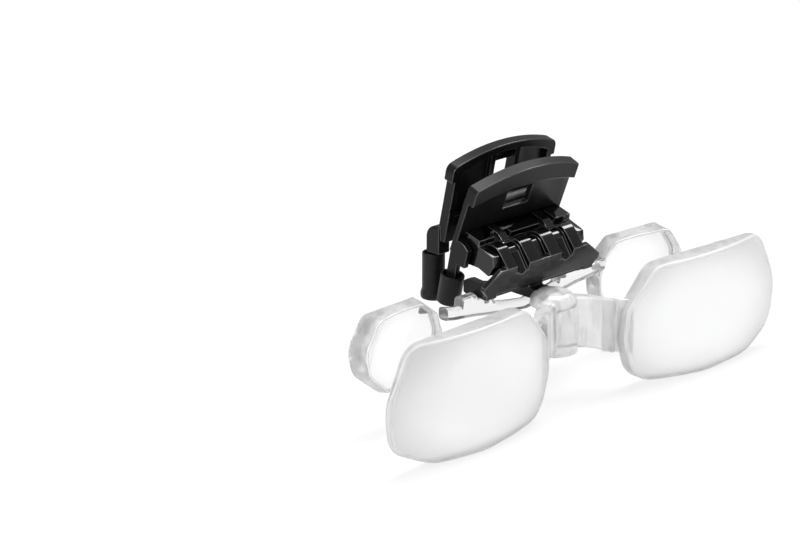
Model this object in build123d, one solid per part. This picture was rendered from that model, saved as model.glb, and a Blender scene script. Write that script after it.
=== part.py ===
from build123d import *
import os
from math import atan2, cos, degrees, hypot, radians, sin, sqrt, tan

# A clip-on loupe with flip-up optics, in millimetres.
# +Z is up, -Y is the way the wearer looks, +X is the wearer's left.
# The origin is the middle of the clip's gap, between the front and the rear sleeves.

# Common clearances
cut_overrun = 1.0  # how far a cutting tool runs past the face that it cuts
seat_gap = 0.02  # between pieces that are pressed, screwed or glued together
running_gap = 0.05  # radial gap of a turning fit
side_gap = 0.25  # between faces that slide past each other

# Pivot of the two jaws
pivot_y = -2.9
pivot_z = 4.6
pivot_pin_radius = 0.6
pivot_pin_head_radius = 1.0
pivot_pin_head_length = 0.5
knuckle_radius = 1.15
knuckle_length = 2.6
knuckle_inner_place = 4.4  # from the middle plane to the innermost knuckle

# Lever plates, seen from the pivot: a plate stands up and its inner face looks at the pivot
front_lean_angle = 21.0  # degrees, top towards the front
rear_lean_angle = 12.5
plate_inner_distance = 1.3
plate_half_width = 13.8
plate_arch_rise = 2.3
plate_foot_depth = 3.2  # how far the plate reaches below the pivot
front_plate_thickness = 2.4
front_corner_height = 11.4
front_corner_radius = 0.8
front_band_height = 3.8  # the thick band along the arched edge
front_waist_step = 0.05  # the plate is narrower below its band
front_recess_depth = 1.2  # and its front face lies back there
front_recess_low = -0.4
front_window_half_width = 3.3
front_window_low = 4.4
front_window_high = 8.5
rear_plate_thickness = 2.2
rear_corner_height = 12.6
rear_corner_radius = 1.6
rear_band_height = 3.0
rear_waist_step = 0.8
rear_recess_depth = 0.9
rear_recess_low = 2.2
rear_rim_width = 1.5
rear_window_half_width = 2.6
rear_window_low = 6.6
rear_window_high = 11.2
window_rib_width = 1.3
cross_rod_radius = 1.0  # the steel rod across the rear plate, under its window
cross_rod_place = 3.5
cross_rod_half_width = 8.6
cross_rod_reach = 0.9  # how far its middle line lies in front of the plate's rim

# Prongs and their soft sleeves
prong_radius = 1.25
prong_start_z = 0.2
front_prong_inset = 0.7  # from the plate's side edge
front_prong_place = plate_half_width - front_prong_inset  # from the middle plane
front_prong_angle = 12.0  # degrees, top towards the front
front_prong_y = -4.2
front_prong_length = 9.2
front_root_half_depth = 1.15  # the flat strip that carries the prong, flush with the plate's side
front_root_top = 2.4
front_root_low = -5.0
front_lug_points = (  # (y, z) of the lug in front of that strip
    (-4.2, 3.4), (-5.9, 3.4), (-7.1, 2.75), (-7.95, 1.9), (-7.6, 0.6), (-6.9, -1.75), (-3.6, -1.0),
)
rear_prong_inset = 2.1
rear_prong_place = plate_half_width - rear_prong_inset
rear_prong_angle = 0.0
rear_prong_y = 3.25
rear_prong_length = 9.8
rear_root_inner = 1.2  # from the prong's middle line to the block's side
rear_root_outer = 1.7
rear_root_back = 0.5
rear_root_front = 3.1
rear_root_top = 4.4
rear_root_low = -1.0
rear_root_radius = 2.4  # round of the block's upper back edge
root_edge_radius = 0.5
sleeve_floor = 0.8
sleeve_bore_gap = 0.05
sleeve_foot_radius = 0.5
sleeve_mouth_radius = 1.85  # the bore is wider at its mouth
sleeve_mouth_depth = 1.0
front_sleeve_radius = 2.3
front_sleeve_length = 6.0
rear_sleeve_radius = 2.2
rear_sleeve_length = 9.2
rear_foot_radius = 2.5
rear_foot_height = 1.2
rear_foot_slope = 0.9  # height of the cone between the tube and its foot

# Torsion spring on the jaw pivot
spring_wire_radius = 0.2
spring_mean_radius = 0.9
spring_pitch = 0.9
spring_turns = 6
spring_leg_length = 0.5

# Housing on the front jaw, in which the optics flip up
flip_y = -10.7
flip_z = 0.2
flip_pin_radius = 0.8
flip_pin_cover = 0.6  # wall of each cheek that is left over the pin's end
housing_half_width = 12.3
housing_wall = 1.7
bar_front_y = -9.6
bar_front_z = 4.0
bar_back_z = 5.1
bar_thickness = 1.2
cheek_step_y = -9.4  # under the bar's front edge
cheek_step_z = 2.9
cheek_nose_points = ((-13.1, 1.6), (-13.3, -0.35), (-11.9, -2.4), (-9.2, -1.35))
cheek_heel_z = -1.2
cheek_neck_z = 1.9
tongue_place = 6.0
tongue_width = 2.0
tongue_thickness = 0.5
tongue_bend_inset = 0.6  # its bend lies behind the bar's front edge
tongue_bend_angle = 43.0  # degrees below level
tongue_reach = 1.8  # from the bend to the tip
tongue_slot_gap = 1.1

# Carrier: barrel, sloping shelf and the eight-sided front panel
core_radius = 2.1  # the barrel's inner core, which shows in two channels and a trench
barrel_radius = 2.9
trench_half_width = 1.3
catch_groove_radius = 1.3  # the trough in each channel's floor, where a tongue snaps in
catch_groove_depth = 0.45
barrel_end_gap = 0.3
panel_top_y = -15.2
panel_top_z = -0.7
panel_low_y = -13.8
panel_low_z = -5.6
panel_thickness = 1.1
panel_top_half_width = 11.8
panel_half_width = 15.6
panel_low_half_width = 14.4
panel_side_drop = 3.0  # from the top edge down to the widest corners, along the panel
panel_side_height = 0.7
panel_notch_width = 3.2
panel_notch_depth = 1.5
foot_pad_width = 2.6
foot_pad_height = 0.8

# Cradle under the carrier, with the arm that reaches forward to the front lenses
cradle_half_width = 13.2
cradle_back_y = -7.2
cradle_top_z = -5.5
cradle_thickness = 1.2
cheek_width = 1.3
cheek_points = (
    (-6.2, -4.3), (-7.2, -3.7), (-8.1, -3.4), (-10.3, -3.6), (-12.0, -3.2), (-13.6, -3.4),
    (-13.6, -6.4), (-11.6, -7.0), (-8.9, -6.4), (-6.9, -6.8), (-6.2, -6.5),
)
arm_half_width = 1.8
arm_top_z = -6.0
arm_tip_top_z = -6.9  # the arm's tip is lower, to go under the dome
arm_low_z = -9.0
arm_step_y = -12.6
arm_tip_y = -16.9
screw_place = 10.5
screw_y = -9.2
screw_radius = 0.6
screw_head_radius = 1.1
screw_head_height = 0.6
screw_length = 3.0

# Rear unit: a clear rail with a small diverging lens at each end
eye_place = 31.5  # half the distance between the two lens centres
toe_in_angle = 3.4  # degrees, both lenses look towards the middle
rail_back_y = -8.0
rail_front_y = -10.5
rail_joint_place = 21.6  # the rail's outline ends inside the lens, which cuts it off
rail_top_points = (
    (3.2, -9.8), (8.4, -8.9), (9.2, -7.4), (10.0, -6.8), (13.5, -6.8), (13.6, -5.9), (17.2, -5.9),
    (17.4, -7.6), (19.0, -7.5), (rail_joint_place, -6.9),
)
rail_low_points = ((rail_joint_place, -9.4), (19.0, -9.9), (14.0, -10.4), (6.0, -11.6))
rail_middle_top_z = -10.2
rail_middle_low_z = -12.2
ocular_back_y = -6.0
ocular_centre_z = -12.85
ocular_half_width = 11.5
ocular_half_height = 8.35
ocular_edge = 4.6
ocular_hollow_radius = 27.0
ocular_draft_angle = 6.0
ocular_corner_shares = (
    (-0.435, 1.0), (0.783, 1.0), (1.113, 0.311), (1.009, -0.311), (0.348, -1.0),
    (-0.391, -1.0), (-0.835, -0.359), (-0.87, 0.18), (-0.739, 0.665),
)
ocular_corner_radii = (0.8, 2.5, 4.0, 5.0, 4.0, 4.0, 4.0, 3.0, 1.5)

# Front unit: two large converging lenses on a clear bridge
objective_back_y = -24.7
objective_centre_z = -16.0
objective_half_width = 20.0
objective_half_height = 12.0
objective_dome_radius = 52.0
objective_thickness = 5.7
objective_decentre = 1.0  # the thickest point lies this far towards the nose
objective_corner_shares = (
    (0.885, 1.04), (1.155, 0.125), (1.09, -0.583), (0.65, -0.908), (0.0, -0.95),
    (-0.84, -0.842), (-0.99, -0.125), (-0.945, 0.417), (-0.615, 1.033),
)
objective_corner_radii = (4.0, 9.0, 6.0, 12.0, 30.0, 6.0, 8.0, 6.0, 5.0)
bridge_joint_place = 9.4  # from the middle plane to the glued joint of bridge and stub
bridge_joint_front_y = -24.8
bridge_joint_back_y = -20.8
bridge_front_points = (
    (0.0, -20.5), (2.6, -20.5), (5.0, -21.4), (bridge_joint_place, bridge_joint_front_y),
)
bridge_back_points = (
    (0.0, -16.6), (2.6, -16.8), (5.0, -17.7), (bridge_joint_place, bridge_joint_back_y),
)
bridge_top_points = ((0.0, -8.2), (3.8, -8.1), (7.5, -8.7), (bridge_joint_place, -9.1))
bridge_low_points = ((0.0, -18.5), (3.4, -18.3), (6.0, -18.7), (bridge_joint_place, -19.9))
stub_points = (
    (bridge_joint_place, bridge_joint_back_y), (13.6, -23.9), (15.0, -26.2), (13.2, -27.4),
    (bridge_joint_place, bridge_joint_front_y),
)
stub_top_z = -9.3
stub_low_z = -20.1
stub_edge_radius = 0.8
hub_lean_angle = 15.0  # degrees, top towards the wearer
hub_foot_y = -19.9
hub_foot_z = -19.1
hub_radius = 2.95
hub_length = 10.2
dome_y = -17.0
dome_top_z = -6.0
dome_radius = 4.1
dome_height = 3.6
dome_round_radius = 2.0


def prism_across(points, x_low, x_high):
    """A solid with the given (y, z) outline, from x_low to x_high."""
    face = make_face(Plane.YZ.offset(x_low) * Polyline(*points, close=True))
    return extrude(face, amount=x_high - x_low)


def block(x_low, x_high, y_low, y_high, z_low, z_high):
    """A box between two corners."""
    centre = Pos((x_low + x_high) / 2, (y_low + y_high) / 2, (z_low + z_high) / 2)
    return centre * Box(x_high - x_low, y_high - y_low, z_high - z_low)


def rod_across(radius, x_low, x_high, y, z):
    """A round rod along X."""
    return Pos((x_low + x_high) / 2, y, z) * Rot(0, 90, 0) * Cylinder(radius, x_high - x_low)


def mirrored(shape):
    """The same piece on the other side of the middle plane."""
    return mirror(shape, about=Plane.YZ)


def lean(y, z, angle):
    """The place of a jaw's own frame: the pivot at its origin, its top leaning forward."""
    return Pos(0, y, z) * Rot(angle, 0, 0)


def checked(shape, wanted):
    """The shape as one piece, or as a group of the wanted number of separate solids."""
    solids = shape.solids()
    if len(solids) != wanted:
        raise ValueError(f"{len(solids)} solids where {wanted} were expected")
    return solids[0] if wanted == 1 else Compound(children=list(solids))


# Jaws

def arched_plate(half_width, low, corner_height, rise, y_low, y_high):
    """A plate that stands on z = low and whose top edge is an arc."""
    outline = [
        Polyline(
            (-half_width, corner_height), (-half_width, low),
            (half_width, low), (half_width, corner_height),
        ),
        ThreePointArc((half_width, corner_height), (0, corner_height + rise), (-half_width, corner_height)),
    ]
    face = make_face(Plane.XZ.offset(-y_high) * (outline[0] + outline[1]))
    return extrude(face, amount=y_high - y_low)


def lever_plate(side, thickness, corner_height, corner_radius, band_height, waist_step, window):
    """A jaw's lever plate in the jaw's frame; side is -1 for the front jaw and 1 for the rear."""
    half_window, window_low, window_high = window
    y_low, y_high = sorted((side * plate_inner_distance, side * (plate_inner_distance + thickness)))
    waist = plate_half_width - waist_step
    notch = corner_height - band_height
    plate = arched_plate(plate_half_width, notch, corner_height, plate_arch_rise, y_low, y_high)
    top_corners = plate.edges().filter_by(Axis.Y).group_by(Axis.Z)[-1]
    plate = fillet(top_corners, corner_radius)
    plate += block(-waist, waist, y_low, y_high, -plate_foot_depth, notch)
    return plate - block(
        -half_window, half_window, y_low - cut_overrun, y_high + cut_overrun, window_low, window_high,
    )


def knuckles(side, thickness, places):
    """Round ears that reach from a plate's inner face to the jaw pivot."""
    shape = None
    y_low, y_high = sorted((0, side * (plate_inner_distance + thickness / 2)))
    for place in places:
        ear = rod_across(knuckle_radius, place, place + knuckle_length, 0, 0)
        ear += block(place, place + knuckle_length, y_low, y_high, -knuckle_radius, knuckle_radius)
        shape = ear if shape is None else shape + ear
    return shape


def prong_frame(place, start_y, angle):
    """A prong's own frame: its top at the origin, its tip straight below."""
    return Pos(place, start_y, prong_start_z) * Rot(angle, 0, 0)


def prong(top, length):
    """One round prong in its own frame, from the height top down to its tip."""
    pin = Pos(0, 0, (top - length) / 2) * Cylinder(prong_radius, length + top)
    return chamfer(pin.edges().group_by(Axis.Z)[0], prong_radius / 3)


def pivot_bore():
    """The hole for the jaws' pivot pin."""
    return rod_across(
        pivot_pin_radius + running_gap, -plate_half_width, plate_half_width, pivot_y, pivot_z,
    )


def front_jaw():
    """The front jaw; its plate is recessed below the arched band."""
    ears = (
        knuckle_inner_place + knuckle_length + side_gap,
        -knuckle_inner_place - 2 * knuckle_length - side_gap,
    )
    window = (front_window_half_width, front_window_low, front_window_high)
    plate = lever_plate(
        -1, front_plate_thickness, front_corner_height, front_corner_radius, front_band_height,
        front_waist_step, window,
    )
    place = lean(pivot_y, pivot_z, front_lean_angle)
    shape = place * (plate + knuckles(-1, front_plate_thickness, ears))
    face_y = -plate_inner_distance - front_plate_thickness
    recess = arched_plate(
        plate_half_width + cut_overrun, front_recess_low, front_corner_height - front_band_height,
        plate_arch_rise, face_y - cut_overrun, face_y + front_recess_depth,
    )
    shape -= place * recess
    inner = housing_half_width + side_gap
    outer = plate_half_width - front_waist_step
    strip = block(
        inner - front_prong_place, outer - front_prong_place, -front_root_half_depth,
        front_root_half_depth, front_root_low, front_root_top,
    )
    frame = prong_frame(front_prong_place, front_prong_y, front_prong_angle)
    left = frame * (strip + prong(front_root_low, front_prong_length))
    left += prism_across(front_lug_points, inner, outer)
    return shape + left + mirrored(left) - pivot_bore()


def rear_jaw():
    """The rear jaw; its inner face has a rim, two ribs and a seat for the rod."""
    ears = (knuckle_inner_place, -knuckle_inner_place - knuckle_length)
    window = (rear_window_half_width, rear_window_low, rear_window_high)
    plate = lever_plate(
        1, rear_plate_thickness, rear_corner_height, rear_corner_radius, rear_band_height,
        rear_waist_step, window,
    )
    place = lean(pivot_y, pivot_z, rear_lean_angle)
    shape = place * (plate + knuckles(1, rear_plate_thickness, ears))
    floor_y = plate_inner_distance + rear_recess_depth
    recess = arched_plate(
        plate_half_width - rear_waist_step - rear_rim_width, rear_recess_low,
        rear_corner_height - rear_rim_width, plate_arch_rise,
        plate_inner_distance - cut_overrun, floor_y,
    )
    for edge in (-rear_window_half_width - window_rib_width, rear_window_half_width):
        recess -= block(
            edge, edge + window_rib_width, 0, floor_y, 0, rear_corner_height + plate_arch_rise,
        )
    rod_y = plate_inner_distance - cross_rod_reach
    seat = block(
        -cross_rod_half_width, cross_rod_half_width, rod_y, floor_y + seat_gap,
        cross_rod_place - cross_rod_radius, cross_rod_place + cross_rod_radius,
    )
    shape = shape - place * recess + place * seat
    shape -= place * rod_across(
        cross_rod_radius + seat_gap, -plate_half_width, plate_half_width, rod_y, cross_rod_place,
    )
    root = block(
        -rear_root_inner, rear_root_outer, -rear_root_front, rear_root_back, rear_root_low, rear_root_top,
    )
    root = fillet(root.edges().filter_by(Axis.X).group_by(Axis.Z)[-1].group_by(Axis.Y)[-1], rear_root_radius)
    root = fillet(root.edges().filter_by(Axis.Z).group_by(Axis.Y)[-1], root_edge_radius)
    frame = prong_frame(rear_prong_place, rear_prong_y, rear_prong_angle)
    left = frame * (root + prong(rear_root_low, rear_prong_length))
    return shape + left + mirrored(left) - pivot_bore()


def cross_rod():
    """The steel rod that lies in the rear jaw's seat."""
    rod_y = plate_inner_distance - cross_rod_reach
    rod = rod_across(cross_rod_radius, -cross_rod_half_width, cross_rod_half_width, rod_y, cross_rod_place)
    return lean(pivot_y, pivot_z, rear_lean_angle) * rod


def sleeve_bore(length, top):
    """The hole in a sleeve, in the prong's frame, wider at its mouth; top is the sleeve's upper end."""
    depth = length + cut_overrun
    bore = Pos(0, 0, -length + depth / 2 - sleeve_bore_gap) * Cylinder(prong_radius + sleeve_bore_gap, depth)
    low = top - sleeve_mouth_depth
    mouth = Pos(0, 0, (low + cut_overrun) / 2) * Cylinder(sleeve_mouth_radius, cut_overrun - low)
    return bore + mouth


def front_sleeve(side):
    """A soft closed tube over a front prong."""
    bottom = -(front_prong_length + sleeve_floor)
    tube = Pos(0, 0, bottom + front_sleeve_length / 2) * Cylinder(front_sleeve_radius, front_sleeve_length)
    tube = fillet(tube.edges().group_by(Axis.Z)[0], sleeve_foot_radius)
    frame = prong_frame(side * front_prong_place, front_prong_y, front_prong_angle)
    return frame * (tube - sleeve_bore(front_prong_length, bottom + front_sleeve_length))


def rear_sleeve(side):
    """A slimmer soft tube over a rear prong, with a wider foot."""
    bottom = -(rear_prong_length + sleeve_floor)
    tube = Pos(0, 0, bottom + rear_sleeve_length / 2) * Cylinder(rear_sleeve_radius, rear_sleeve_length)
    foot = Pos(0, 0, bottom + rear_foot_height / 2) * Cylinder(rear_foot_radius, rear_foot_height)
    foot = fillet(foot.edges().group_by(Axis.Z)[0], sleeve_foot_radius)
    slope = Pos(0, 0, bottom + rear_foot_height + rear_foot_slope / 2) * Cone(
        rear_foot_radius, rear_sleeve_radius, rear_foot_slope,
    )
    frame = prong_frame(side * rear_prong_place, rear_prong_y, rear_prong_angle)
    bore = sleeve_bore(rear_prong_length, bottom + rear_sleeve_length)
    return frame * (tube + foot + slope - bore)


def pivot_pin():
    """The steel pin on which the jaws turn, headed at one end and peened at the other."""
    reach = knuckle_inner_place + 2 * knuckle_length + side_gap
    pin = rod_across(pivot_pin_radius, -reach - side_gap, reach + side_gap, pivot_y, pivot_z)
    for low in (-reach - side_gap - pivot_pin_head_length, reach + side_gap):
        pin += rod_across(pivot_pin_head_radius, low, low + pivot_pin_head_length, pivot_y, pivot_z)
    return pin


# Torsion spring

def helix_point(angle):
    """A point of the coil's centre line; the angle in radians runs from its first end."""
    x = -spring_turns * spring_pitch / 2 + spring_pitch * angle / radians(360)
    y = -spring_mean_radius * cos(angle)
    z = -spring_mean_radius * sin(angle)
    return Vector(x, y, z)


def helix_direction(angle):
    """The unit tangent of the coil there."""
    climb = spring_pitch / radians(360)
    along = Vector(climb, spring_mean_radius * sin(angle), -spring_mean_radius * cos(angle))
    return along.normalized()


def biarc(start, start_way, end, end_way):
    """Two arcs that leave start along start_way and reach end along end_way."""
    chord = end - start
    both = start_way + end_way
    a = 2 * (start_way.dot(end_way) - 1)
    b = -2 * chord.dot(both)
    c = chord.dot(chord)
    reach = (-b - sqrt(b * b - 4 * a * c)) / (2 * a)
    first_corner = start + start_way * reach
    last_corner = end - end_way * reach
    middle = (first_corner + last_corner) * 0.5
    way = (last_corner - first_corner).normalized()
    return [TangentArc(start, middle, tangent=start_way), TangentArc(middle, end, tangent=way)]


def jaw_spring():
    """Six and a half turns of wire round the pivot, with a short straight leg at each end."""
    quarters = 4 * spring_turns + 2
    step = radians(90)
    first, last = helix_point(0), helix_point(quarters * step)
    first_way, last_way = helix_direction(0), helix_direction(quarters * step)
    edges = [Line(first - first_way * spring_leg_length, first)]
    for i in range(quarters):
        angle = i * step
        edges += biarc(
            helix_point(angle), helix_direction(angle),
            helix_point(angle + step), helix_direction(angle + step),
        )
    edges.append(Line(last, last + last_way * spring_leg_length))
    path = Wire([edge.edge() for edge in edges])
    section = Plane(origin=path @ 0, z_dir=path % 0) * Circle(spring_wire_radius)
    points = [path @ (i / (quarters * 8)) for i in range(quarters * 8 + 1)]
    gap = min(
        (points[i] - points[j]).length
        for i in range(len(points)) for j in range(i + 20, len(points))
    ) - 2 * spring_wire_radius
    print("jaw spring: least gap to itself", round(gap, 3), "mm")
    lean_angle = (front_lean_angle + rear_lean_angle) / 2
    return lean(pivot_y, pivot_z, lean_angle) * sweep(section, path=path)


# Housing on the front jaw

def plate_face_y(z):
    """Where the front plate's recessed face lies at height z on the middle plane."""
    angle = radians(front_lean_angle)
    reach = plate_inner_distance + front_plate_thickness - front_recess_depth
    return pivot_y - reach / cos(angle) - (z - pivot_z) * tan(angle)


def plate_point(depth, height):
    """The (y, z) of a point just off the front plate, depth behind its outermost face."""
    angle = radians(front_lean_angle)
    reach = plate_inner_distance + front_plate_thickness - depth
    y = pivot_y - reach * cos(angle) - height * sin(angle) - seat_gap
    return (y, pivot_z - reach * sin(angle) + height * cos(angle))


def housing():
    """The top bar and two cheeks in which the optics turn, fixed to the front plate."""
    back_top = (plate_face_y(bar_back_z) - seat_gap, bar_back_z)
    back_low_z = bar_back_z - bar_thickness
    back_low = (plate_face_y(back_low_z) - seat_gap, back_low_z)
    front_top = (bar_front_y, bar_front_z)
    front_low_z = bar_front_z - bar_thickness
    front_low = (bar_front_y + bar_thickness * tan(radians(front_lean_angle)), front_low_z)
    bar = prism_across((back_top, front_top, front_low, back_low), -housing_half_width, housing_half_width)
    neck = (plate_face_y(cheek_neck_z) - front_recess_depth - side_gap, cheek_neck_z)
    outline = (
        back_top, front_top, (cheek_step_y, cheek_step_z), *cheek_nose_points,
        (neck[0], cheek_heel_z), neck,
        plate_point(0, front_recess_low + side_gap),
        plate_point(front_recess_depth, front_recess_low + side_gap),
    )
    cheek = prism_across(outline, housing_half_width - housing_wall, housing_half_width)
    shape = bar + cheek + mirrored(cheek)
    reach = housing_half_width - flip_pin_cover
    shape -= rod_across(flip_pin_radius + seat_gap, -reach, reach, flip_y, flip_z)
    half_slot = tongue_width / 2 + tongue_slot_gap
    for place in (-tongue_place, tongue_place):
        shape -= block(
            place - half_slot, place + half_slot, bar_front_y - cut_overrun, back_top[0] - side_gap,
            front_low_z - cut_overrun, bar_back_z + cut_overrun,
        )
    return shape


def tongue(place):
    """A springy bent strip, held in the bar's slot, whose tip snaps into the barrel's channel."""
    half = tongue_thickness / 2
    angle = radians(tongue_bend_angle)
    back_y = plate_face_y(bar_back_z) - side_gap - 2 * seat_gap - half / 2
    bend_y, bend_z = bar_front_y + tongue_bend_inset, bar_front_z
    middle = (
        (back_y, bar_back_z - half), (bend_y, bend_z),
        (bend_y - tongue_reach * cos(angle), bend_z - tongue_reach * sin(angle)),
    )
    slope = atan2(middle[0][1] - bend_z, back_y - bend_y)
    ways = (slope, (slope + angle) / 2, angle)
    spans = (half, half / cos((angle - slope) / 2), half)
    upper = [(y - span * sin(way), z + span * cos(way)) for (y, z), way, span in zip(middle, ways, spans)]
    lower = [(y + span * sin(way), z - span * cos(way)) for (y, z), way, span in zip(middle, ways, spans)]
    return prism_across(upper + lower[::-1], place - tongue_width / 2, place + tongue_width / 2)


def flip_pin():
    """The plain steel pin on which the optics flip up; the cheeks snap over its ends."""
    reach = housing_half_width - flip_pin_cover - seat_gap
    return rod_across(flip_pin_radius, -reach, reach, flip_y, flip_z)


# Carrier

def panel_frame():
    """The panel's own frame: its top edge's middle at the origin, its front face looking along -Y."""
    angle = degrees(atan2(panel_low_y - panel_top_y, panel_top_z - panel_low_z))
    return Pos(0, panel_top_y, panel_top_z) * Rot(angle, 0, 0)


def panel_height():
    """The panel's height along its own slope."""
    return hypot(panel_low_y - panel_top_y, panel_top_z - panel_low_z)


def front_panel():
    """The eight-sided plate with two notches in its top edge and two pads under it."""
    height = panel_height()
    points = [
        (-panel_top_half_width, 0), (-panel_half_width, -panel_side_drop),
        (-panel_half_width, -panel_side_drop - panel_side_height), (-panel_low_half_width, -height),
    ]
    points += [(-x, z) for x, z in reversed(points)]
    face = make_face(Plane.XZ * Polyline(*points, close=True))
    panel = extrude(face, amount=-panel_thickness)
    for place in (-tongue_place, tongue_place):
        panel -= block(
            place - panel_notch_width / 2, place + panel_notch_width / 2,
            -cut_overrun, panel_thickness + cut_overrun, -panel_notch_depth, cut_overrun,
        )
    for low in (-panel_low_half_width, panel_low_half_width - foot_pad_width):
        panel += block(low, low + foot_pad_width, 0, panel_thickness, -height - foot_pad_height, -height)
    return panel_frame() * panel


def panel_point(depth):
    """The (y, z) of a point of the panel's front face, depth below its top edge along the slope."""
    share = depth / panel_height()
    return (
        panel_top_y + share * (panel_low_y - panel_top_y), panel_top_z + share * (panel_low_z - panel_top_z),
    )


def shelf_line(radius, depth):
    """The shelf's upper line in (y, z): where it leaves the barrel, and where it meets the panel."""
    front_y, front_z = panel_point(depth)
    drop = atan2(front_z - flip_z, flip_y - front_y)
    reach = hypot(front_z - flip_z, flip_y - front_y)
    touch = drop + atan2(sqrt(reach ** 2 - radius ** 2), radius)
    return (flip_y - radius * cos(touch), flip_z + radius * sin(touch)), (front_y, front_z)


def barrel_slice(radius, depth, x_low, x_high):
    """A slice of barrel and shelf: a disc, and a wedge that meets the panel at the given depth."""
    wedge = (
        *shelf_line(radius, depth), (panel_low_y, panel_low_z), (flip_y, flip_z - radius), (flip_y, flip_z),
    )
    return rod_across(radius, x_low, x_high, flip_y, flip_z) + prism_across(wedge, x_low, x_high)


def catch_groove(place):
    """The round trough down the middle of a channel's floor."""
    (touch_y, touch_z), (front_y, front_z) = shelf_line(core_radius, panel_notch_depth)
    slope = atan2(touch_z - front_z, touch_y - front_y)
    length = 2 * hypot(touch_z - front_z, touch_y - front_y)
    rise = catch_groove_radius - catch_groove_depth
    centre = Pos(place, front_y - rise * sin(slope), front_z + rise * cos(slope))
    return centre * Rot(degrees(slope) - 90, 0, 0) * Cylinder(catch_groove_radius, length)


def carrier():
    """Barrel, shelf and panel in one moulding, with a trench and a channel for each tongue."""
    half = housing_half_width - housing_wall - barrel_end_gap
    shape = barrel_slice(core_radius, panel_notch_depth, -half, half) + front_panel()
    channel_inner = tongue_place - panel_notch_width / 2
    channel_outer = tongue_place + panel_notch_width / 2
    for low, high in ((trench_half_width, channel_inner), (channel_outer, half)):
        shape += barrel_slice(barrel_radius, 0, low, high) + barrel_slice(barrel_radius, 0, -high, -low)
    shape -= catch_groove(-tongue_place) + catch_groove(tongue_place)
    reach = half + cut_overrun
    return shape - rod_across(flip_pin_radius + running_gap, -reach, reach, flip_y, flip_z)


def cradle():
    """The black tray under the carrier; its arm reaches forward into the front bridge."""
    low_z = cradle_top_z - cradle_thickness
    inner = cradle_half_width - cheek_width
    shape = block(
        -cradle_half_width, cradle_half_width, panel_low_y, cradle_back_y, low_z, cradle_top_z,
    )
    cheek = prism_across(cheek_points, inner, cradle_half_width)
    shape = shape + cheek + mirrored(cheek)
    behind_panel = panel_thickness + seat_gap
    shape -= panel_frame() * block(
        -2 * panel_half_width, 2 * panel_half_width, -panel_half_width, behind_panel,
        -panel_half_width, panel_half_width,
    )
    shape += block(-arm_half_width, arm_half_width, arm_step_y, cradle_back_y, arm_low_z, arm_top_z)
    shape += block(-arm_half_width, arm_half_width, arm_tip_y, cradle_back_y, arm_low_z, arm_tip_top_z)
    return shape - screws(seat_gap)


def screws(gap):
    """Two small screws, or the holes for them, that hold the rear rail under the cradle."""
    shape = None
    for place in (-screw_place, screw_place):
        low = cradle_top_z - screw_length - gap
        high = cradle_top_z + screw_head_height
        whole = Pos(place, screw_y, (low + high) / 2) * Cylinder(screw_radius + gap, high - low)
        if not gap:
            whole += Pos(place, screw_y, cradle_top_z + screw_head_height / 2 + seat_gap) * Cylinder(
                screw_head_radius, screw_head_height,
            )
        shape = whole if shape is None else shape + whole
    return shape


# Clear pieces

def toe_in(side):
    """The place of one eye's lenses: their own axis looks slightly towards the middle."""
    return Pos(side * eye_place, 0, 0) * Rot(0, 0, -side * toe_in_angle)


def lens_outline(shares, radii, half_width, half_height):
    """A face that looks along -Y, of straight runs and arcs; +X is the side of the temple."""
    points = [(x * half_width, z * half_height) for x, z in reversed(shares)]
    return make_face(Plane.XZ * FilletPolyline(*points, radius=list(reversed(radii)), close=True))


def ocular_blank():
    """The left eye's rear lens before its hollow is cut."""
    outline = lens_outline(
        ocular_corner_shares, ocular_corner_radii, ocular_half_width, ocular_half_height,
    )
    body = extrude(outline, amount=ocular_edge, taper=ocular_draft_angle)
    return toe_in(1) * Pos(0, ocular_back_y, ocular_centre_z) * body


def ocular():
    """The left eye's rear lens: a thick edge round a hollow front face."""
    depth = ocular_hollow_radius - sqrt(ocular_hollow_radius ** 2 - ocular_half_width ** 2)
    centre = Pos(0, ocular_back_y - ocular_edge - ocular_hollow_radius + depth, ocular_centre_z)
    return ocular_blank() - toe_in(1) * centre * Sphere(ocular_hollow_radius)


def both_sides(points):
    """A run of (x, value) points, from its left half on the negative side to the positive side."""
    return [(-x, value) for x, value in reversed(points) if x] + list(points)


def rear_bridge():
    """The clear rail under the cradle, whose ends meet the rear lenses."""
    top = [(0, rail_middle_top_z), *rail_top_points]
    low = [(0, rail_middle_low_z), *reversed(rail_low_points)]
    outline = both_sides(low) + list(reversed(both_sides(top)))
    face = make_face(Plane.XZ.offset(-rail_back_y) * Polyline(*outline, close=True))
    rail = extrude(face, amount=rail_back_y - rail_front_y)
    return rail - ocular_blank() - mirrored(ocular_blank()) - screws(seat_gap)


def band(low_points, high_points, plane, thickness):
    """A slab between two smooth curves, drawn on a plane and extruded by thickness."""
    low, high = both_sides(low_points), both_sides(high_points)
    edges = Spline(*low) + Line(low[-1], high[-1]) + Spline(*reversed(high)) + Line(high[0], low[0])
    return extrude(make_face(plane * edges), amount=thickness)


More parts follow.
